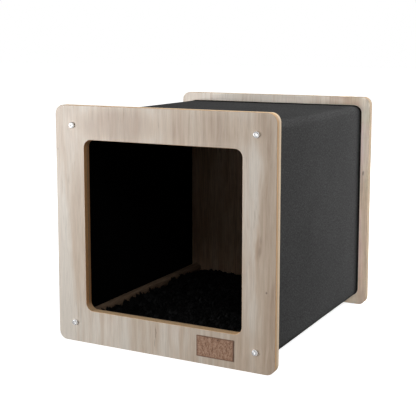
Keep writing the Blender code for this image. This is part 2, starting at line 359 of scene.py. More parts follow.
def makeFloor(values):
    bpy.ops.mesh.primitive_plane_add(size=values["floorSize"], location=(0, 0, 0))
    floor = settlePiece("studioFloor")
    material = bpy.data.materials.new("studioFloor")
    material.use_nodes = True
    tree = material.node_tree
    tree.nodes.remove(tree.nodes["Principled BSDF"])
    place = putNode(tree, "TexCoord", {}).outputs["Object"]
    reach = putNode(tree, "VectorMath", {0: place}, operation="LENGTH")
    glow = spread(tree, reach.outputs["Value"], values["glowFrom"], values["glowTo"],
                  values["nearGlow"], values["farGlow"])
    pale = putNode(tree, "BsdfDiffuse", {"Color": (*[values["floorColour"]] * 3, 1)})
    dim = putNode(tree, "BsdfDiffuse", {"Color": (*[values["floorBounce"]] * 3, 1)})
    lit = putNode(tree, "Emission", {"Strength": glow})
    both = putNode(tree, "AddShader", {0: pale.outputs[0], 1: lit.outputs[0]})
    choice = putNode(tree, "MixShader", {0: seenRays(tree), 1: dim.outputs[0], 2: both.outputs[0]})
    tree.links.new(choice.outputs[0], tree.nodes["Material Output"].inputs["Surface"])
    floor.data.materials.append(material)


scene.view_settings.view_transform = "Standard"
makeCamera(cameraValues)
for panelName, panelValues in lightValues.items():
    makePanel(panelName, *panelValues)
makeWorld(stageValues)
makeFloor(stageValues)
print("camera, lights and floor made")


# Shader groups that several materials share

def makeGrainGroup():  # wood grain along Z, with its tones, pores and growth figure
    group, given, made = newGroup("woodGrain", {"Vector": "Vector", "Warp": "Float"},
                                  ("Streaks", "Fibres", "Pores", "Figure"))
    drift = noise(group, given["Vector"], (9, 9, 2.2), detail=2)
    shift = around(group, drift, given["Warp"])
    waver = noise(group, given["Vector"], (45, 45, 16), detail=3)
    shift = maths(group, "MULTIPLY_ADD", around(group, waver, given["Warp"]), 0.45, shift)
    offset = putNode(group, "CombineXYZ", {"X": shift}).outputs[0]
    bent = putNode(group, "VectorMath", {0: given["Vector"], 1: offset}, operation="ADD")
    vector = bent.outputs["Vector"]
    broad = noise(group, vector, (18, 18, 2.6), detail=2, rough=0.5)
    middle = noise(group, vector, (75, 75, 8), detail=3, rough=0.6)
    narrow = noise(group, vector, (260, 260, 24), detail=3, rough=0.6)
    streaks = blended(group, middle, 0.34, broad, 0.40)
    streaks = maths(group, "MULTIPLY_ADD", narrow, 0.26, streaks)
    rare = spread(group, noise(group, vector, (110, 110, 6), detail=2), 0.58, 0.74, 0.0, 0.22)
    streaks = maths(group, "ADD", maths(group, "MULTIPLY_ADD", streaks, 2.6, -0.86), rare)
    feed(group, made["Streaks"], maths(group, "MAXIMUM", streaks, 0.0))
    feed(group, made["Fibres"], noise(group, vector, (900, 900, 26), detail=3, rough=0.65))
    pores = noise(group, vector, (620, 620, 34), detail=2, rough=0.5)
    patches = noise(group, vector, (60, 60, 9), detail=2)
    pores = maths(group, "MULTIPLY", spread(group, pores, 0.60, 0.72), spread(group, patches, 0.42, 0.62))
    feed(group, made["Pores"], pores)
    inputs = {"Vector": stretched(group, vector, (24, 24, 2.6), place=(1.4, 0.0, -0.55)), "Scale": 1.0,
              "Distortion": 7.0, "Detail": 3.0, "Detail Scale": 0.9}
    wave = putNode(group, "TexWave", inputs, wave_type="RINGS", rings_direction="Y", wave_profile="SIN")
    shown = spread(group, noise(group, given["Vector"], (11, 11, 5), detail=1), 0.46, 0.66)
    feed(group, made["Figure"], maths(group, "MULTIPLY", wave.outputs["Fac"], shown))
    return group


def makeMottleGroup():  # fine fibres, flecks and slow clouds, as on felt, cloth and fibre board
    group, given, made = newGroup("mottle", {"Vector": "Vector"}, ("Fibres", "Flecks", "Clouds"))
    fibres = noise(group, given["Vector"], (1500, 1500, 1500), detail=3, rough=0.7, bend=1.2)
    feed(group, made["Fibres"], fibres)
    flecks = noise(group, given["Vector"], (430, 430, 430), detail=2, rough=0.6, bend=0.6)
    feed(group, made["Flecks"], spread(group, flecks, 0.30, 0.70))
    feed(group, made["Clouds"], noise(group, given["Vector"], (14, 14, 14), detail=3, rough=0.5))
    return group


grainGroup = makeGrainGroup()
mottleGroup = makeMottleGroup()


# Materials

oakValues = {
    "pale": (0.692, 0.622, 0.541),
    "middle": (0.547, 0.436, 0.335),
    "dark": (0.380, 0.270, 0.189),
    "pore": (0.15, 0.100, 0.07),
    "greyer": (0.992, 1.00, 1.005),
    "pinker": (1.012, 0.994, 0.982),
    "thickness": 0.015,
    "houseMiddle": 0.2,
    "cabinHalf": 0.1790,  # half the sleeve's inside, where the back board's face gets painted shade, darker and browner
    "cabinDepth": 0.004,
    "backShift": (0.57, 0.31, 0.83),
    # painted light: the back board's face is this much paler than the front's
    "backGain": 1.22,
    "plyOrange": (0.52, 0.32, 0.165),
    "plyTan": (0.50, 0.365, 0.235),
    "plyCream": (0.72, 0.56, 0.39),
    "plyAmber": (0.87, 0.47, 0.205),
    "plySienna": (0.57, 0.36, 0.195),
    "plyRust": (0.60, 0.31, 0.140),
    "sillPaintedLight": (1.00, 0.70, 0.41),  # the doorway's sill is painted paler than its sides, as light from above
    "sillFade": (0.058, 0.072),
    "crownLightAndWarmth": (1.19, 1.10, 0.91),  # the boards' top edges are paler, as painted light from above, and warmer
    "crownFrom": 0.3950,
    "crownTo": 0.3992,
    # the back board's edges are darker copies of the plies, as painted shade
    "backTan": (0.46, 0.345, 0.235),
    "backCream": (0.46, 0.355, 0.25),
    "rimPale": (0.84, 0.74, 0.61),
    "laminate": (0.46, 0.325, 0.215),
    "edgePlies": [(0.00, "laminate"), (0.04, "laminate"), (0.07, "plyOrange"), (0.33, "plyOrange"),
                  (0.37, "plyTan"), (0.56, "plyTan"), (0.60, "plyCream"), (0.95, "plyCream")],
    "backPlies": [(0.00, "backCream"), (0.10, "backCream"), (0.14, "backTan"), (0.55, "backTan"),
                  (0.60, "backCream"), (1.00, "backCream")],
    "rimPlies": [(0.00, "rimPale"), (1.00, "rimPale")],
    "doorPlies": [(0.00, "plyAmber"), (0.50, "plyAmber"), (0.54, "plySienna"), (0.72, "plySienna"),
                  (0.77, "plyRust"), (1.00, "plyRust")],
    "glue": (0.17, 0.09, 0.05),
    # the painted shade in the grooves, in two near-black tones
    "groove": (0.020, 0.014, 0.010),
    "soot": (0.008, 0.006, 0.005),
    # tints of the painted shade inside the sleeve, with finer grain lines
    "cabinShadePale": (0.77, 0.65, 0.545),
    "cabinShadeDark": (0.50, 0.385, 0.305),
    # place across and up, half width and half height, and strength of slow changes of tone; a few small ones
    # are the wood's own darker streaks, the rest is painted light and shade: on the front paler at the outer
    # left and bottom left, darker beside the doorway's left side, along the top rail and at the outer right;
    # on the back paler along the top and darker low on the right
    "frontToneAndPaintedShading": [((-0.155, 0.190), (0.022, 0.160), 0.18), ((-0.198, 0.140), (0.028, 0.250), -0.52),
                    ((-0.130, 0.020), (0.110, 0.065), -0.32), ((0.155, 0.200), (0.016, 0.190), -0.22),
                    ((-0.080, 0.371), (0.095, 0.036), 0.52), ((0.090, 0.372), (0.110, 0.034), 0.17),
                    ((-0.186, 0.050), (0.030, 0.130), -0.40), ((0.018, 0.030), (0.036, 0.060), -0.34),
                    ((0.168, 0.320), (0.016, 0.080), -0.22),
                    ((0.190, 0.170), (0.026, 0.260), 0.44), ((-0.112, 0.030), (0.007, 0.060), 0.25),
                    ((-0.056, 0.030), (0.013, 0.050), 0.18), ((-0.008, 0.035), (0.006, 0.035), 0.25),
                    ((0.040, 0.030), (0.005, 0.060), 0.22), ((-0.085, 0.375), (0.012, 0.060), 0.20),
                    ((0.030, 0.375), (0.010, 0.050), 0.22), ((0.100, 0.375), (0.016, 0.050), 0.22),
                    ((0.180, 0.370), (0.022, 0.050), 0.25), ((0.172, 0.195), (0.007, 0.026), 0.30)],
    "backToneAndPaintedShading": [((0.192, 0.110), (0.014, 0.190), 0.28), ((0.000, 0.392), (0.190, 0.020), -0.20),
                   ((0.192, 0.350), (0.020, 0.140), -0.35), ((-0.060, 0.392), (0.220, 0.030), -0.25)],
    # place across and up, half width and half height, and strength of marks in the face
    "frontMarks": [((-0.0090, 0.037), (0.0011, 0.0140), 0.80), ((-0.0108, 0.020), (0.0016, 0.0080), 0.40),
                   ((0.1855, 0.1285), (0.0020, 0.0024), 0.85), ((0.1730, 0.1900), (0.0036, 0.0110), 0.30),
                   ((0.1750, 0.2080), (0.0022, 0.0090), 0.28), ((-0.1960, 0.3265), (0.0010, 0.0030), 0.60)],
    "backMarks": [((0.1905, 0.2560), (0.0022, 0.0060), 0.70), ((-0.1140, 0.2840), (0.0014, 0.0120), 0.45)],
}


def makeOakFace(values, side, shift, paintedLightGain=1.0, innerFace=None):
    material, tree, shader, place = newMaterial(side + "BoardFace", Specular_IOR_Level=0.6)
    grain = useGroup(tree, grainGroup, Vector=stretched(tree, place, (1, 1, 1), place=shift), Warp=0.012)
    across, deep, up = axes(tree, place)
    ragged = noise(tree, place, (420, 420, 110), detail=3, rough=0.6)
    coarse = noise(tree, place, (60, 60, 45), detail=2)
    strayed = around(tree, coarse, 0.004, around(tree, ragged, 0.0035, across))
    swayed = around(tree, noise(tree, place, (40, 40, 8), detail=3), 0.024, across)
    tone = blended(tree, grain["Figure"], 0.16, grain["Streaks"], 0.84)
    # painted light and shade, with some of the wood's own streaks, in oval spots
    for spot, half, strength in values[side + "ToneAndPaintedShading"]:
        tone = maths(tree, "ADD", tone, inSpot(tree, swayed, up, spot, half, strength))
    colour = ramp(tree, tone, [(0.00, values["pale"]), (0.50, values["middle"]), (0.98, values["dark"])])
    # the gain makes the whole face paler, as painted light
    colour = tinted(tree, colour, spread(tree, grain["Fibres"], 0.3, 0.7, 0.93 * paintedLightGain, 1.07 * paintedLightGain))
    hue = spread(tree, noise(tree, place, (34, 34, 2.0), detail=3), 0.35, 0.65)
    colour = tinted(tree, colour, mixed(tree, hue, values["greyer"], values["pinker"]))
    colour = mixed(tree, maths(tree, "MULTIPLY", grain["Pores"], 0.26), colour, values["pore"])
    for spot, half, strength in values[side + "Marks"]:
        colour = mixed(tree, inSpot(tree, strayed, up, spot, half, strength), colour, values["pore"])
    if innerFace is not None:  # inside the sleeve the wood is painted darker and browner, as shade inside the house
        half, depth = values["cabinHalf"], innerFace + values["cabinDepth"]
        partX = maths(tree, "ABSOLUTE", across)
        partZ = maths(tree, "ABSOLUTE", maths(tree, "SUBTRACT", up, values["houseMiddle"]))
        within = spread(tree, maths(tree, "MAXIMUM", partX, partZ), half + 0.001, half)
        within = maths(tree, "MULTIPLY", within, spread(tree, deep, depth, depth + 0.001, 1, 0))
        fine = noise(tree, place, (620, 620, 26), detail=3, rough=0.7, bend=0.4)
        fine = spread(tree, blended(tree, tone, 0.22, fine, 0.78), 0.36, 0.62)
        lines = mixed(tree, fine, values["cabinShadePale"], values["cabinShadeDark"])
        colour = mixed(tree, within, colour, tinted(tree, colour, lines))
    rough = maths(tree, "MULTIPLY_ADD", grain["Fibres"], 0.12, 0.34)
    rough = maths(tree, "MULTIPLY_ADD", grain["Pores"], 0.15, rough)
    height = maths(tree, "SUBTRACT", maths(tree, "MULTIPLY", grain["Fibres"], 0.4), grain["Pores"])
    joinShader(tree, shader, colour, rough, height, 0.00012, 0.5)
    return material


def makeOakEdge(values, name, faceY, plies, sillFade=None):  # plies is the name of their list
    material, tree, shader, place = newMaterial(name, Specular_IOR_Level=0.35)
    _, deep, up = axes(tree, place)
    depth = maths(tree, "DIVIDE", maths(tree, "SUBTRACT", deep, faceY), values["thickness"])
    depth = around(tree, noise(tree, place, (70, 250, 70), detail=2), 0.03, depth)
    colour = ramp(tree, depth, [(stop, values[ply]) for stop, ply in values[plies]])
    if sillFade:
        # the sill is painted paler, as light from above
        colour = mixed(tree, spread(tree, up, *sillFade, 0.85, 0.0), colour, values["sillPaintedLight"])
    # the top edges are painted paler, as light from above, and warmer
    upper = spread(tree, up, values["crownFrom"], values["crownTo"])
    colour = mixed(tree, upper, colour, tinted(tree, colour, values["crownLightAndWarmth"]))
    fibres = noise(tree, place, (160, 1400, 160), detail=3, rough=0.7)
    specks = noise(tree, place, (500, 900, 500), detail=2)
    colour = tinted(tree, colour, spread(tree, fibres, 0.25, 0.75, 0.80, 1.15))
    colour = mixed(tree, spread(tree, specks, 0.62, 0.72, 0.0, 0.45), colour, values["glue"])
    joinShader(tree, shader, colour, spread(tree, fibres, 0.3, 0.7, 0.55, 0.75), fibres, 0.00015, 0.6)
    return material


def makeGrooveShade(values):  # the grooves are painted nearly black, as shade inside them
    material, tree, shader, place = newMaterial("paintedGrooveShade", Specular_IOR_Level=0.1)
    soot = noise(tree, place, (700, 700, 700), detail=3)
    colour = ramp(tree, soot, [(0.3, values["soot"]), (0.7, values["groove"])])
    joinShader(tree, shader, colour, spread(tree, soot, 0.3, 0.7, 0.8, 0.95), soot, 0.0001, 0.5)
    return material


feltValues = {
    "dark": (0.034, 0.034, 0.034),
    "middle": (0.062, 0.062, 0.062),
    "light": (0.104, 0.104, 0.105),
    "insideShadeShare": 0.08,  # the sleeve's inside is this share as pale as its outside, as painted shade inside the house
    "shadeBesideBack": (0.178, 0.206),  # along Y, where the felt is painted darker towards the back board, as shade beside it
    "shadeBesideShare": 0.32,
}


def makeFelt(values, name, share):
    material, tree, shader, place = newMaterial(name, Specular_IOR_Level=0.0)
    mottle = useGroup(tree, mottleGroup, Vector=place)
    tone = blended(tree, mottle["Flecks"], 0.26, mottle["Fibres"], 0.74)
    colour = ramp(tree, tone, [(0.26, values["dark"]), (0.50, values["middle"]), (0.74, values["light"])])
    colour = tinted(tree, colour, spread(tree, mottle["Clouds"], 0.3, 0.7, 0.96 * share, 1.04 * share))
    along = axes(tree, place)[1]
    # painted shade: the felt darkens towards the back board
    colour = tinted(tree, colour, spread(tree, along, *values["shadeBesideBack"], 1.0, values["shadeBesideShare"]))
    joinShader(tree, shader, colour, spread(tree, mottle["Fibres"], 0.3, 0.7, 0.9, 1.0), tone, 0.0006, 0.6)
    return material


dowelValues = {
    "pale": (0.37, 0.255, 0.170),
    "dark": (0.13, 0.082, 0.052),
    "pore": (0.09, 0.055, 0.035),
}


def makeDowelWood(values):
    material, tree, shader, place = newMaterial("dowelWood", Specular_IOR_Level=0.4)
    along = stretched(tree, place, (1, 1, 1), turn=quarterTurn)  # the grain runs along Y
    grain = useGroup(tree, grainGroup, Vector=along, Warp=0.004)
    lines = noise(tree, place, (330, 22, 330), detail=3, rough=0.65, bend=0.4)
    tone = blended(tree, lines, 0.65, grain["Streaks"], 0.35)
    colour = ramp(tree, tone, [(0.30, values["pale"]), (0.62, values["dark"])])
    colour = mixed(tree, maths(tree, "MULTIPLY", grain["Pores"], 0.6), colour, values["pore"])
    rough = maths(tree, "MULTIPLY_ADD", grain["Fibres"], 0.2, 0.42)
    height = maths(tree, "SUBTRACT", maths(tree, "MULTIPLY", grain["Fibres"], 0.5), grain["Pores"])
    joinShader(tree, shader, colour, rough, height, 0.0002, 0.6)
    return material


metalValues = {  # bright and dull colour, least and most roughness
    "screwMetal": ((0.31, 0.31, 0.315), (0.27, 0.27, 0.275), 0.22, 0.28),
    "paintedLightMetal": ((0.80, 0.80, 0.80), (0.70, 0.70, 0.70), 0.34, 0.46),
    "insertMetal": ((0.55, 0.50, 0.36), (0.36, 0.31, 0.20), 0.30, 0.50),
}


def makeMetal(name, bright, dull, roughLow, roughHigh):
    material, tree, shader, place = newMaterial(name, Metallic=1.0)
    wear = noise(tree, place, (900, 900, 900), detail=4, rough=0.65)
    scratches = noise(tree, place, (4200, 500, 4200), detail=2)
    tone = blended(tree, scratches, 0.3, wear, 0.7)
    rough = spread(tree, tone, 0.3, 0.7, roughLow, roughHigh)
    joinShader(tree, shader, ramp(tree, tone, [(0.3, bright), (0.7, dull)]), rough, scratches, 0.00002, 0.4)
    return material


hardboardValues = {
    "dark": (0.060, 0.030, 0.016),
    "light": (0.190, 0.105, 0.058),
}


def makeHardboard(values):
    material, tree, shader, place = newMaterial("brownHardboard", Specular_IOR_Level=0.3)
    mottle = useGroup(tree, mottleGroup, Vector=place)
    tone = blended(tree, mottle["Flecks"], 0.5, mottle["Fibres"], 0.5)
    colour = ramp(tree, tone, [(0.25, values["dark"]), (0.75, values["light"])])
    joinShader(tree, shader, colour, spread(tree, mottle["Fibres"], 0.3, 0.7, 0.5, 0.8), tone, 0.0002, 0.5)
    return material


frontLow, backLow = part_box("front_board")[0].y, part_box("back_board")[0].y
frontFace = makeOakFace(oakValues, "front", (0, 0, 0))
backFace = makeOakFace(oakValues, "back", oakValues["backShift"], oakValues["backGain"], backLow)
frontEdge = makeOakEdge(oakValues, "frontBoardEdge", frontLow, "edgePlies")
doorEdge = makeOakEdge(oakValues, "doorwayEdge", frontLow, "doorPlies", oakValues["sillFade"])
grooveRim = makeOakEdge(oakValues, "grooveRim", backLow, "rimPlies")
backEdge = makeOakEdge(oakValues, "backBoardEdge", backLow, "backPlies")
grooveShade = makeGrooveShade(oakValues)
felt = makeFelt(feltValues, "charcoalFelt", 1.0)
feltInsideShade = makeFelt(feltValues, "paintedShadeInside", feltValues["insideShadeShare"])
dowelWood = makeDowelWood(dowelValues)
screwMetal, paintedLightMetal, insertMetal = (makeMetal(name, *looks) for name, looks in metalValues.items())
hardboard = makeHardboard(hardboardValues)
print("wood, felt and metal made")


# Boards

boardValues = {
    "cornerRadius": 0.015,
    "cornerSteps": 16,
    "edgeRound": 0.0006,
    "edgeSteps": 3,
    "doorLow": (-0.144, 0.056),
    "doorHigh": (0.144, 0.344),
    "doorRadius": 0.0135,
    "grooveDepth": 0.0053,
    "grooveOuter": (0.1842, 0.0147),  # half width and corner radius of its outer wall
    "grooveInner": (0.1790, 0.0095),
    "grooveRim": 0.0008,  # the outer wall's edge is eased by this much
    "grooveSlack": 0.0002,
    "faceDepth": 0.0012,  # faces of the groove and the holes lie deeper in the board
    "slotHalfWidth": 0.1553,
    "slotDepth": 0.0052,
    "slotHeights": (0.0175, 0.0221),
    "holeSides": 24,
    "holeRadius": 0.0033,
    "holeReach": 0.167,
    "cutterReach": 0.02,  # how far the cutters stand out of the board
    "middle": 0.2,
}


def cutGroove(board, values, inner):
    middle = values["middle"]
    parts = []
    for name, reach in (("grooveOuter", values["grooveDepth"]), ("grooveInner", 2 * values["grooveDepth"])):
        half, radius = values[name]
        low = (-half, inner - reach, middle - half)
        high = (half, inner + reach, middle + half)
        parts.append(roundedBlock(name, low, high, radius, values["cornerSteps"]))
    cutAway(parts[0], parts[1])
    cutAway(board, parts[0])
    half, radius = values["grooveOuter"]

    def onRim(point):  # on the outer wall's edge in the board's inner face
        across, up = abs(point.x), abs(point.z - middle)
        beyond = math.hypot(max(0, across - half + radius), max(0, up - half + radius))
        onWall = half - 0.006 < max(across, up) < half + 1e-4 and beyond > radius - 1e-4
        return onWall and abs(point.y - inner) < 1e-5

    pickEdges(board, lambda a, b: onRim(a) and onRim(b))
    bpy.ops.mesh.bevel(offset=values["grooveRim"], segments=2, affect="EDGES")
    closeEdit()
    floorLow, floorHigh = values["slotHeights"]
    half, depth = values["slotHalfWidth"], values["slotDepth"]
    cutAway(board, addBlock("floorSlot", (-half, inner - depth, floorLow), (half, inner + depth, floorHigh)))


def cutHoles(board, values, centreY):
    reach = values["holeReach"]
    for across in (-reach, reach):
        for up in (-reach, reach):
            place = (across, centreY, values["middle"] + up)
            hole = addRod("screwHole", values["holeSides"], values["holeRadius"],
                          2 * values["cutterReach"], place, quarterTurn)
            cutAway(board, hole)


def paintBoard(board, values, low, high, *materials):  # face, edge, groove, doorway and groove's rim
    for material in materials:
        board.data.materials.append(material)
    ringLow = values["grooveInner"][0] - values["grooveSlack"]
    ringHigh = values["grooveOuter"][0] + values["grooveSlack"] + values["grooveRim"]
    for polygon in board.data.polygons:
        centre = polygon.center
        deep = min(centre.y - low.y, high.y - centre.y)
        ring = max(abs(centre.x), abs(centre.z - values["middle"]))
        if abs(polygon.normal.y) > 0.95:
            polygon.material_index = 0 if deep < values["faceDepth"] else 2
        elif ring < values["doorHigh"][0] + 0.001:
            polygon.material_index = 3
        elif ringLow < ring < ringHigh:
            polygon.material_index = 2 if deep > values["grooveRim"] * 0.95 else 4
        else:
            polygon.material_index = 1


def makeBoard(name, node, values, faceMaterial, edgeMaterial):
    low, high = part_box(node)
    front = low.y < 0
    board = roundedBlock(name, low, high, values["cornerRadius"], values["cornerSteps"])
    if front:
        doorLow = (values["doorLow"][0], low.y - values["cutterReach"], values["doorLow"][1])
        doorHigh = (values["doorHigh"][0], high.y + values["cutterReach"], values["doorHigh"][1])
        doorway = roundedBlock("doorway", doorLow, doorHigh, values["doorRadius"], values["cornerSteps"])
        cutAway(board, doorway)
    roundEdges(board, values["edgeRound"], values["edgeSteps"])
    cutGroove(board, values, high.y if front else low.y)
    cutHoles(board, values, (low.y + high.y) / 2)
    smoothPiece(board, weighted=True)
    paintBoard(board, values, low, high, faceMaterial, edgeMaterial, grooveShade, doorEdge, grooveRim)
    finishPiece(board, "house", "washed_oak", node)


makeBoard("frontBoard", "front_board", boardValues, frontFace, frontEdge)
makeBoard("backBoard", "back_board", boardValues, backFace, backEdge)
print("boards made")


# Felt sleeve

sleeveValues = {
    "cornerRadius": 0.014,
    "cornerSteps": 14,
    "thickness": 0.002,
    "seamHalfGap": 0.0002,
    "cutsAcross": 44,
    "cutsAlong": 60,
    "waveSize": 0.11,
    "waveHeight": 0.0005,
    "heldLength": 0.03,  # how far from the boards the felt is held straight
    "tuckRings": (0.2000, 0.2024, 0.2045, 0.2065, 0.2083, 0.2100),
    "tuckDepth": 0.0030,  # how far the felt turns in where it enters the grooves
    "seamEnds": 0.012,  # the stitches start and end this far from the felt's ends
    "stitchPitch": 0.006,
    "stitchHalfWidth": 0.0032,
    "threadRadius": 0.00035,
    "threadSides": 6,
    "threadCuts": 4,
    "threadDark": (0.02, 0.02, 0.02),
    "threadLight": (0.09, 0.09, 0.09),
}


def makeSleeve(values):
    low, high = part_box("felt_sleeve")
    sleeve = roundedBlock("feltSleeve", low, high, values["cornerRadius"], values["cornerSteps"])
    pickFaces(sleeve, lambda centre, normal: abs(normal.y) > 0.9)
    bpy.ops.mesh.delete(type="FACE")
    gap = values["seamHalfGap"]
    for edge in (-gap, gap):
        pickFaces(sleeve, lambda centre, normal: normal.z < -0.99 and abs(normal.x) < 0.01)
        bpy.ops.mesh.bisect(plane_co=(edge, 0, 0), plane_no=(1, 0, 0))
    pickFaces(sleeve, lambda centre, normal: normal.z < -0.99 and abs(centre.x) < gap)
    bpy.ops.mesh.delete(type="FACE")
    rings = values["tuckRings"]
    for ring in (*rings, *(-ring for ring in rings)):
        openAll(sleeve, "FACE")
        bpy.ops.mesh.bisect(plane_co=(0, ring, 0), plane_no=(0, 1, 0))
    pickEdges(sleeve, lambda a, b: abs(a.y - b.y) < 1e-5 and (a - b).length > 0.1)
    bpy.ops.mesh.subdivide(number_cuts=values["cutsAcross"])
    pickEdges(sleeve, lambda a, b: abs(a.y - b.y) > 0.1)
    bpy.ops.mesh.subdivide(number_cuts=values["cutsAlong"])
    closeEdit()
    normals = [vertex.normal.copy() for vertex in sleeve.data.vertices]
    for vertex, normal in zip(sleeve.data.vertices, normals):
        part = max(0.0, min(1.0, (abs(vertex.co.y) - rings[0]) / (rings[-1] - rings[0])))
        vertex.co -= normal * values["tuckDepth"] * part * part * (3 - 2 * part)
    loose = sleeve.vertex_groups.new(name="loose")
    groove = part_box("back_board")[0].y
    for vertex in sleeve.data.vertices:
        held = (groove - abs(vertex.co.y)) / values["heldLength"]
        loose.add([vertex.index], max(0.0, min(1.0, held)), "REPLACE")
    waves = bpy.data.textures.new("feltWaves", "CLOUDS")
    waves.noise_scale = values["waveSize"]
    applyModifier(sleeve, "DISPLACE", texture=waves, strength=values["waveHeight"], vertex_group="loose")
    sleeve.data.materials.append(felt)
    sleeve.data.materials.append(feltInsideShade)
    # the inside gets the second, darker felt, as painted shade
    applyModifier(sleeve, "SOLIDIFY", thickness=values["thickness"], offset=-1, use_even_offset=True,
                  material_offset=1)
    smoothPiece(sleeve)
    finishPiece(sleeve, "house", "charcoal_felt", "felt_sleeve")
    return low, high


def makeThreadMaterial(values):
    material, tree, shader, place = newMaterial("seamThread", Specular_IOR_Level=0.3)
    strands = noise(tree, place, (2500, 2500, 2500), detail=2)
    colour = ramp(tree, strands, [(0.3, values["threadDark"]), (0.7, values["threadLight"])])
    feed(tree, shader["Base Color"], colour)
    feed(tree, shader["Roughness"], spread(tree, strands, 0.3, 0.7, 0.6, 0.8))
    return material


def makeSeam(values, low, high):  # crossed stitches that close the slit under the floor
    half, radius, pitch = values["stitchHalfWidth"], values["threadRadius"], values["stitchPitch"]
    count = int((high.y - low.y - 2 * values["seamEnds"]) / pitch)
    place = (0, low.y + values["seamEnds"] + pitch / 2, low.z - radius * 0.5)
    lean = math.atan2(pitch, 2 * half)
    threads = []
    for hand in (-1, 1):
        turn = (0, math.pi / 2, hand * lean)
        thread = addRod("thread", values["threadSides"], radius, math.hypot(2 * half, pitch), place, turn)
        pickEdges(thread, lambda a, b: (a - b).length > half)
        bpy.ops.mesh.subdivide(number_cuts=values["threadCuts"])
        closeEdit()
        for vertex in thread.data.vertices:  # the ends dip into the felt
            part = min(1.0, abs(vertex.co.x) / half)
            vertex.co.z += 1.6 * radius * part ** 3
        threads.append(thread)
    selectOnly(threads[0])
    threads[1].select_set(True)
    bpy.ops.object.join()
    seam = settlePiece("seamStitches")
    applyModifier(seam, "ARRAY", count=count, use_relative_offset=False, use_constant_offset=True,
                  constant_offset_displace=(0, pitch, 0))
    smoothPiece(seam, 60)
    seam.data.materials.append(makeThreadMaterial(values))
    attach(seam, "house")


sleeveLow, sleeveHigh = makeSleeve(sleeveValues)
makeSeam(sleeveValues, sleeveLow, sleeveHigh)
print("sleeve made")


# Dowels and screws

cornerNames = ("lower_left", "lower_right", "upper_left", "upper_right")


def pieceName(node):  # dowel_lower_left becomes dowelLowerLeft
    first, *others = node.split("_")
    return first + "".join(word.title() for word in others)


def extrudeBy(*move):
    bpy.ops.mesh.extrude_region_move(TRANSFORM_OT_translate={"value": move})


def drawOut(rise, scale, height):  # extrudes along Z, then scales what is now at that height
    extrudeBy(0, 0, rise)
    bpy.ops.transform.resize(value=(scale, scale, 1), center_override=(0, 0, height))


dowelShape = {
    "sides": 40,
    "chamfer": 0.0008,
    "boreRadius": 0.0053,
    "boreDepth": 0.0136,
}


def makeDowels(values):
    low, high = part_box("dowel_lower_left")
    radius = (high.x - low.x) / 2
    place = (low + high) / 2
    first = addRod("dowelLowerLeft", values["sides"], radius, high.y - low.y, place, quarterTurn)
    for side in (-1, 1):
        pickFaces(first, lambda centre, normal: normal.y * side > 0.9)
        bpy.ops.mesh.inset(thickness=radius - values["boreRadius"])
        extrudeBy(0, -side * values["boreDepth"], 0)
    closeEdit()
    roundEdges(first, values["chamfer"], 2)
    smoothPiece(first)
    first.data.materials.append(dowelWood)
    for corner in cornerNames:
        node = "dowel_" + corner
        piece = first
        if corner != "lower_left":
            piece = copyPiece(first, pieceName(node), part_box(node)[0] - low)
        finishPiece(piece, "house", "dowel_wood", node)


screwShape = {
    "sides": 36,
    "headRadius": 0.00525,
    "rimHeight": 0.0007,
    "headHeight": 0.0033,
    "flankFrom": 0.70,  # faces of the dome less upright than this get the brighter metal, as painted light
    "flatRadius": 0.0033,
    "domeSteps": 7,
    "socketWidth": 0.0040,
    "socketDepth": 0.0021,
    "shankRadius": 0.0030,
    "shankLength": 0.0253,
    "tipChamfer": 0.0006,
    "tipScale": 0.8,
    "threadPitch": 0.0010,
    "threadTurns": 9,
    "threadDepth": 0.0004,
    "edgeRound": 0.00012,
    "turns": (0.35, 1.10, 0.72, 1.61, 0.2, 0.9, 1.3, 0.5),
}


def makeScrew(values):  # head towards +Z with its seat at height 0
    rim, rimHeight = values["headRadius"], values["rimHeight"]
    screw = addRod("screwPattern", values["sides"], rim, rimHeight, (0, 0, rimHeight / 2))
    pickFaces(screw, lambda centre, normal: normal.z > 0.9)
    radius, height = rim, 0.0
    for step in range(1, values["domeSteps"] + 1):
        angle = math.pi / 2 * step / values["domeSteps"]
        newRadius = values["flatRadius"] + (rim - values["flatRadius"]) * math.cos(angle)
        newHeight = (values["headHeight"] - rimHeight) * math.sin(angle)
        drawOut(newHeight - height, newRadius / radius, rimHeight + newHeight)
        radius, height = newRadius, newHeight
    pickFaces(screw, lambda centre, normal: normal.z < -0.9)
    bpy.ops.mesh.inset(thickness=rim - values["shankRadius"])
    plain = values["shankLength"] - values["threadPitch"] * values["threadTurns"] - values["tipChamfer"]
    extrudeBy(0, 0, -plain)
    depth = -plain
    root = 1 - values["threadDepth"] / values["shankRadius"]
    for scale in (root, 1 / root) * values["threadTurns"]:
        depth -= values["threadPitch"] / 2
        drawOut(-values["threadPitch"] / 2, scale, depth)
    drawOut(-values["tipChamfer"], values["tipScale"], depth - values["tipChamfer"])
    closeEdit()
    socketRadius = values["socketWidth"] / math.sqrt(3)
    top = (0, 0, values["headHeight"])
    cutAway(screw, addRod("hexSocket", 6, socketRadius, 2 * values["socketDepth"], top))
    roundEdges(screw, values["edgeRound"], 2, 40)
    smoothPiece(screw, 40)
    screw.data.materials.append(screwMetal)
    screw.data.materials.append(paintedLightMetal)
    # the socket and the flank get the brighter metal, as painted light where they lie in shade
    for polygon in screw.data.polygons:
        within = math.hypot(polygon.center.x, polygon.center.y) < socketRadius
        inSocket = within and 0 < polygon.center.z < values["headHeight"] - values["edgeRound"]
        onFlank = not within and polygon.normal.z < values["flankFrom"]
        polygon.material_index = 1 if inSocket or onFlank else 0
    return screw


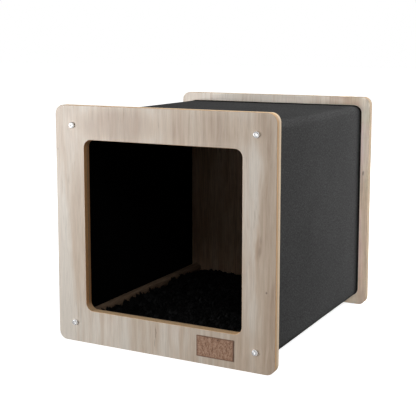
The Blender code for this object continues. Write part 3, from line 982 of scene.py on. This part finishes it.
def makeScrews(values):
    pattern = makeScrew(values)
    turns = iter(values["turns"])
    for end, side in (("front", -1), ("back", 1)):
        for corner in cornerNames:
            node = "screw_" + end + "_" + corner
            low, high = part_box(node)
            centre = (low + high) / 2
            seat = low.y + values["headHeight"] if side < 0 else high.y - values["headHeight"]
            selectOnly(pattern)
            bpy.ops.object.duplicate()
            screw = bpy.context.object
            screw.location = (centre.x, seat, centre.z)
            screw.rotation_mode = "ZYX"  # first about its own axis, then onto the board
            screw.rotation_euler = (-side * math.pi / 2, 0, next(turns))
            settlePiece(pieceName(node))
            finishPiece(screw, "house", "screw_metal", node)
    bpy.data.objects.remove(pattern)


makeDowels(dowelShape)
makeScrews(screwShape)
print("dowels and screws made")


# Label patch, bare

labelValues = {
    "cellsAcross": 66,
    "cellsUp": 35,
    "cornerRadius": 0.001,
    "grainSize": 0.0022,
    "grainHeight": 0.00022,
    "edgeRound": 0.00018,
    "dark": (0.070, 0.030, 0.017),
    "middle": (0.292, 0.153, 0.090),
    "light": (0.520, 0.345, 0.245),
    "border": (0.105, 0.045, 0.025),
}


def makeLabelMaterial(values, low, high):
    material, tree, shader, place = newMaterial("corkLeather", Specular_IOR_Level=0.35)
    fine = noise(tree, place, (950, 950, 420), detail=4, rough=0.7, bend=0.8)
    blotches = noise(tree, place, (260, 260, 120), detail=3, rough=0.6, bend=0.5)
    tone = blended(tree, fine, 0.6, blotches, 0.4)
    colour = ramp(tree, tone, [(0.36, values["dark"]), (0.47, values["middle"]), (0.60, values["light"])])
    across, _, up = axes(tree, place)
    centre = (low + high) / 2
    half = (high - low) / 2
    partX = maths(tree, "ABSOLUTE", maths(tree, "DIVIDE", maths(tree, "SUBTRACT", across, centre.x), half.x))
    partZ = maths(tree, "ABSOLUTE", maths(tree, "DIVIDE", maths(tree, "SUBTRACT", up, centre.z), half.z))
    edge = maths(tree, "MAXIMUM", spread(tree, around(tree, blotches, 0.14, partX), 0.90, 0.99),
                 spread(tree, around(tree, blotches, 0.14, partZ), 0.84, 0.98))
    colour = mixed(tree, maths(tree, "MULTIPLY", edge, 0.7), colour, values["border"])
    joinShader(tree, shader, colour, spread(tree, fine, 0.3, 0.7, 0.50, 0.78), tone, 0.0003, 0.6)
    return material


def makeLabel(values):
    low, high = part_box("label_patch")
    size = high - low
    bpy.ops.mesh.primitive_grid_add(x_subdivisions=values["cellsAcross"], y_subdivisions=values["cellsUp"],
                                    size=1, location=((low.x + high.x) / 2, low.y, (low.z + high.z) / 2),
                                    rotation=quarterTurn)
    bpy.context.object.scale = (size.x, size.z, 1)
    patch = settlePiece("labelPatch")
    openEdit(patch, "VERT")
    closeEdit()
    for vertex in patch.data.vertices:
        atSide = min(vertex.co.x - low.x, high.x - vertex.co.x) < 1e-5
        atEnd = min(vertex.co.z - low.z, high.z - vertex.co.z) < 1e-5
        vertex.select = atSide and atEnd
    bpy.ops.object.mode_set(mode="EDIT")
    bpy.ops.mesh.bevel(offset=values["cornerRadius"] * 0.7, segments=3, affect="VERTICES")
    closeEdit()
    pebbles = bpy.data.textures.new("labelGrain", "CLOUDS")
    pebbles.noise_scale = values["grainSize"]
    applyModifier(patch, "DISPLACE", texture=pebbles, strength=-values["grainHeight"], mid_level=0.0)
    applyModifier(patch, "SOLIDIFY", thickness=size.y * 0.9, offset=-1)
    for vertex in patch.data.vertices:
        vertex.co.y = min(max(vertex.co.y, low.y), high.y)
    roundEdges(patch, values["edgeRound"], 2, 60)
    smoothPiece(patch, 50)
    patch.data.materials.append(makeLabelMaterial(values, low, high))
    finishPiece(patch, "house", "label_leather", "label_patch")


makeLabel(labelValues)
print("label made")


# Cushion: a cloth pad, and the plush pile on it

cushionValues = {
    "voxel": 0.004,
    "shrinkAcross": 0.982,
    "shrinkUp": 0.62,
    "frames": 20,
    "cap": 0.004,  # how far the cloth may swell
    "cloth": {"quality": 6, "mass": 0.25, "tension_stiffness": 12, "compression_stiffness": 12,
              "bending_stiffness": 0.6, "use_pressure": True, "uniform_pressure_force": 4.0},
    "weaveDark": (0.004, 0.004, 0.004),
    "weaveLight": (0.012, 0.012, 0.012),
}


def meshPoints(piece):
    points = np.empty(len(piece.data.vertices) * 3)
    piece.data.vertices.foreach_get("co", points)
    return points.reshape(-1, 3)


def setPoints(piece, points):
    piece.data.vertices.foreach_set("co", points.ravel())
    piece.data.update()


def inflate(pad, values, floorZ):
    rest = meshPoints(pad)
    selectOnly(pad)
    modifier = pad.modifiers.new("Cloth", "CLOTH")
    for name, value in values["cloth"].items():
        setattr(modifier.settings, name, value)
    modifier.settings.effector_weights.gravity = 0.0
    for number in range(1, values["frames"] + 1):
        scene.frame_set(number)
    bpy.ops.object.modifier_apply(modifier=modifier.name)
    scene.frame_set(1)
    moved = meshPoints(pad) - rest
    reach = np.linalg.norm(moved, axis=1, keepdims=True)
    points = rest + moved * np.minimum(1.0, values["cap"] / np.maximum(reach, 1e-9))
    points[:, 2] = np.maximum(points[:, 2], floorZ)
    setPoints(pad, points)


def makePadCloth(values):
    material, tree, shader, place = newMaterial("padCloth", Specular_IOR_Level=0.15)
    inputs = {"Vector": place, "Scale": 420.0, "Distortion": 1.5}
    weave = putNode(tree, "TexWave", inputs, wave_type="BANDS", bands_direction="DIAGONAL").outputs["Fac"]
    colour = ramp(tree, weave, [(0.2, values["weaveDark"]), (0.8, values["weaveLight"])])
    joinShader(tree, shader, colour, spread(tree, weave, 0, 1, 0.8, 0.95), weave, 0.0003, 0.5)
    return material


def makePad(values):
    low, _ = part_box("cushion")
    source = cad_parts["cushion"]
    pad = bpy.data.objects.new("cushionPad", source.data.copy())
    scene.collection.objects.link(pad)
    pad.data.name = "cushionPad"
    openAll(pad, "VERT")
    bpy.ops.mesh.remove_doubles(threshold=1e-5)
    bpy.ops.transform.resize(value=(values["shrinkAcross"], values["shrinkAcross"], values["shrinkUp"]),
                             center_override=(0, 0, low.z))
    closeEdit()
    pad.data.materials.clear()
    pad.data.remesh_voxel_size = values["voxel"]
    bpy.ops.object.voxel_remesh()
    inflate(pad, values, low.z)
    applyModifier(pad, "SUBSURF", levels=1, render_levels=1)
    points = meshPoints(pad)
    points[:, 2] = np.maximum(points[:, 2], low.z)
    setPoints(pad, points)
    smoothPiece(pad, 60)
    pad.data.materials.append(makePadCloth(values))
    finishPiece(pad, "cushion", "black_plush", "cushion")
    return pad, low.z


pileValues = {
    "seed": 23,
    "tufts": 8600,
    "leastSlope": 0.05,        # tufts grow only where the pad faces up by this much
    "rimCrowd": 1.3,           # how many more grow along the cushion's outline
    "rimFrom": 0.86,           # beyond this share of its half width, fully after rimFade more
    "rimFade": 0.08,
    "rimWider": 0.7,           # and how much wider they are
    "clumpSize": 0.0074,
    "clumpsEachWay": 64,
    "length": (0.0075, 0.0125),
    "halfWidth": (0.0010, 0.0017),
    "flatness": 0.55,          # a tuft's thickness as a share of its width
    "standing": (0.30, 0.75),  # how upright, from lying down to straight up
    "gather": 0.68,            # how far the tips of a clump draw together
    "evenness": 0.75,          # how alike the tufts of a clump are in length
    "taper": (1.0, 1.30, 1.25, 0.0),
    "rootDepth": 0.0012,
    "bendHeight": 0.45,
    "clear": 0.2096,
    "floorGap": 0.0003,
    "dowelGap": 0.0104,        # how far the tufts keep from a dowel's axis
    "edgeRadius": 0.030,       # radius of the outline's corners
    "edgeFrom": 0.016,         # beyond this much of it a tuft belongs to the edge, fully after edgeFade
    "edgeFade": 0.012,
    "edgeLift": 0.0075,        # how much longer the tufts are there
    "liftUpTo": 0.170,         # along Y, up to here; near the back board they are shorter
    "liftFade": 0.04,
    "backShorter": 0.35,
    "edgeSpill": 0.0085,       # how far they spill over the edge
    "cornerSpill": 0.0160,     # how much further at the two corners beside the doorway
    "cornerReach": 0.012,
    # the pile is painted darker towards its roots, as shade deep in the pile
    "root": (0.0004, 0.0004, 0.0004),
    "tip": (0.0013, 0.0013, 0.0014),
}


def makePileMaterial(values):
    material, tree, shader, place = newMaterial("plushPile", Specular_IOR_Level=0.13)
    along = putNode(tree, "Attribute", {}, attribute_name="along").outputs["Fac"]
    tone = putNode(tree, "Attribute", {}, attribute_name="tone").outputs["Fac"]
    # painted shade: darker at the roots, paler at the tips
    colour = mixed(tree, along, values["root"], values["tip"])
    colour = tinted(tree, colour, spread(tree, tone, 0, 1, 0.20, 2.40))
    strands = noise(tree, place, (2600, 2600, 900), detail=2)
    joinShader(tree, shader, colour, spread(tree, strands, 0.3, 0.7, 0.48, 0.72), strands, 0.0004, 0.7)
    return material


def makeTuft():  # one pointed tuft from height 0 to 1, with half width 1
    bpy.ops.mesh.primitive_cone_add(vertices=4, radius1=1, radius2=0, depth=1, location=(0, 0, 0.5))
    tuft = settlePiece("tuftPattern")
    for height in (1 / 3, 2 / 3):
        openAll(tuft, "FACE")
        bpy.ops.mesh.bisect(plane_co=(0, 0, height), plane_no=(0, 0, 1))
    closeEdit()
    return tuft


def shapeTuft(values):  # its vertices' heights, directions and half widths, and its faces
    tuft = makeTuft()
    shape = meshPoints(tuft)
    faces = [list(polygon.vertices) for polygon in tuft.data.polygons]
    bpy.data.objects.remove(tuft)
    heights = shape[:, 2]
    cone = 1 - heights
    ring = np.divide(shape[:, :2], cone[:, None], out=np.zeros_like(shape[:, :2]), where=cone[:, None] > 1e-6)
    return heights, ring, np.interp(heights, (0, 1 / 3, 2 / 3, 1), values["taper"]), faces


def pickRoots(pad, values, chance):  # where the tufts stand, and the pad's normals there
    mesh = pad.data
    mesh.calc_loop_triangles()
    corners = np.array([triangle.vertices for triangle in mesh.loop_triangles])
    points = meshPoints(pad)
    a, b, c = points[corners[:, 0]], points[corners[:, 1]], points[corners[:, 2]]
    normals = np.cross(b - a, c - a)
    areas = np.linalg.norm(normals, axis=1)
    normals = normals / np.maximum(areas, 1e-12)[:, None]
    chances = np.where(normals[:, 2] > values["leastSlope"], areas, 0)
    centres = (a + b + c) / 3
    rimward = np.abs(centres[:, :2] / np.abs(points[:, :2]).max(axis=0)).max(axis=1)
    crowded = np.clip((rimward - values["rimFrom"]) / values["rimFade"], 0, 1)
    chances = chances * (1 + values["rimCrowd"] * crowded)
    count = values["tufts"]
    chosen = chance.choice(len(areas), count, p=chances / chances.sum())
    u, v = chance.random((2, count))
    over = u + v > 1
    u[over], v[over] = 1 - u[over], 1 - v[over]
    roots = a[chosen] + (b - a)[chosen] * u[:, None] + (c - a)[chosen] * v[:, None]
    return roots, normals[chosen]


def aimTufts(roots, values, chance):  # tips, moves to the clumps' middles, lengths, edge shares, tones
    count, size, most = len(roots), values["clumpSize"], values["clumpsEachWay"]
    grid = (2 * most + 1, 2 * most + 1)
    cells = np.floor(roots[:, :2] / size + 0.5).astype(int) + most
    jitter = chance.random((*grid, 2)) - 0.5
    swirl = chance.random(grid) * 2.4 - 1.2  # each clump's own turn, in radians
    stand = chance.uniform(*values["standing"], grid)
    tones = chance.random(grid)
    clumpLengths = chance.random(grid)
    i, j = np.clip(cells, 0, 2 * most).T
    centres = (np.stack((i, j), 1) - most + jitter[i, j] * 0.8) * size
    lean = 2.1 + 1.3 * np.sin(centres[:, 0] * 21 + 0.6) * np.cos(centres[:, 1] * 17 - 0.4)  # slow waves
    lean = lean + swirl[i, j] + chance.normal(0, 0.25, count)
    share = values["evenness"] * clumpLengths[i, j] + (1 - values["evenness"]) * chance.random(count)
    length = np.interp(share, (0, 1), values["length"])
    half = np.abs(roots[:, :2]).max(axis=0)
    corner = np.maximum(np.abs(roots[:, :2]) - (half - values["edgeRadius"]), 0)
    reach = np.linalg.norm(corner, axis=1)
    beside = np.clip((reach - values["edgeFrom"]) / values["edgeFade"], 0, 1)
    outward = np.sign(roots[:, :2]) * corner / np.maximum(reach, 1e-9)[:, None]
    beforeBack = np.clip((values["liftUpTo"] - roots[:, 1]) / values["liftFade"], 0, 1)
    length += values["edgeLift"] * beside * beforeBack
    length *= 1 - values["backShorter"] * (1 - beforeBack)
    upright = np.clip(stand[i, j] + 0.1 * beside * beforeBack + chance.normal(0, 0.08, count), 0.15, 0.95)
    flat = np.stack((np.cos(lean), np.sin(lean), np.zeros(count)), 1)
    toMiddle = np.zeros_like(roots)
    toMiddle[:, :2] = (centres - roots[:, :2]) * values["gather"]
    tips = roots + toMiddle + flat * (length * np.sqrt(1 - upright ** 2))[:, None]
    tips[:, 2] += length * upright
    inCorner = np.clip(corner.min(axis=1) / values["cornerReach"], 0, 1) * (roots[:, 1] < 0)
    spill = beside * (values["edgeSpill"] + values["cornerSpill"] * inCorner)
    tips[:, :2] += outward * spill[:, None]
    return tips, toMiddle, length, beside, tones[i, j]


def keepClear(places, values, floorZ):  # of the boards, the floor and the two lower dowels
    places[..., 1] = np.clip(places[..., 1], -values["clear"], values["clear"])
    places[..., 2] = np.maximum(places[..., 2], floorZ + values["floorGap"])
    dowelLow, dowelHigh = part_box("dowel_lower_right")
    dowelX, dowelZ = (dowelLow.x + dowelHigh.x) / 2, (dowelLow.z + dowelHigh.z) / 2
    over = np.clip(values["dowelGap"] ** 2 - (places[..., 2] - dowelZ) ** 2, 0, None)
    limit = np.where(places[..., 2] > dowelZ, dowelX - np.sqrt(over), dowelX - values["dowelGap"])
    places[..., 0] = np.clip(places[..., 0], -limit, limit)


def makePile(pad, values, floorZ):
    chance = np.random.default_rng(values["seed"])
    heights, ring, width, faces = shapeTuft(values)
    roots, upward = pickRoots(pad, values, chance)
    tips, toMiddle, length, beside, tones = aimTufts(roots, values, chance)
    count, perTuft = len(roots), len(heights)
    bends = roots + upward * (length * values["bendHeight"])[:, None] + toMiddle * 0.5
    starts = roots - upward * values["rootDepth"]

    t = heights[None, :, None]
    path = starts[:, None] * (1 - t) ** 2 + bends[:, None] * 2 * t * (1 - t) + tips[:, None] * t ** 2
    along = (bends - starts)[:, None] * (1 - t) + (tips - bends)[:, None] * t
    along = along / np.linalg.norm(along, axis=2, keepdims=True)
    side = np.cross(along, np.array((0.21, 0.13, 1.0)))
    side = side / np.linalg.norm(side, axis=2, keepdims=True)
    lift = np.cross(side, along)
    halfWidth = chance.uniform(*values["halfWidth"], count) * (1 + values["rimWider"] * beside)
    halfWidth = halfWidth[:, None, None] * width[None, :, None]
    places = path + halfWidth * (side * ring[None, :, :1] + lift * ring[None, :, 1:] * values["flatness"])
    keepClear(places, values, floorZ)

    allFaces = [[index + perTuft * number for index in face] for number in range(count) for face in faces]
    pileMesh = bpy.data.meshes.new("cushionPile")
    pileMesh.from_pydata(places.reshape(-1, 3).tolist(), [], allFaces)
    pileMesh.update()
    for name, numbers in (("along", np.tile(heights, count)), ("tone", np.repeat(tones, perTuft))):
        attribute = pileMesh.attributes.new(name, "FLOAT", "POINT")
        attribute.data.foreach_set("value", numbers.astype(np.float32))
    pile = bpy.data.objects.new("cushionPile", pileMesh)
    scene.collection.objects.link(pile)
    openAll(pile, "FACE")
    bpy.ops.mesh.normals_make_consistent(inside=False)
    closeEdit()
    smoothPiece(pile, 80)
    pile.data.materials.append(makePileMaterial(values))
    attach(pile, "cushion")


cushionPad, cushionFloor = makePad(cushionValues)
makePile(cushionPad, pileValues, cushionFloor)
print("cushion made")


# CAD nodes that stay get the finished materials

for nodeName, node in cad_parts.items():
    if not node.hide_render:
        isInsert = nodeName.startswith("insert")
        for materialSlot in node.material_slots:
            materialSlot.material = insertMetal if isInsert else hardboard
print("CAD nodes dressed")
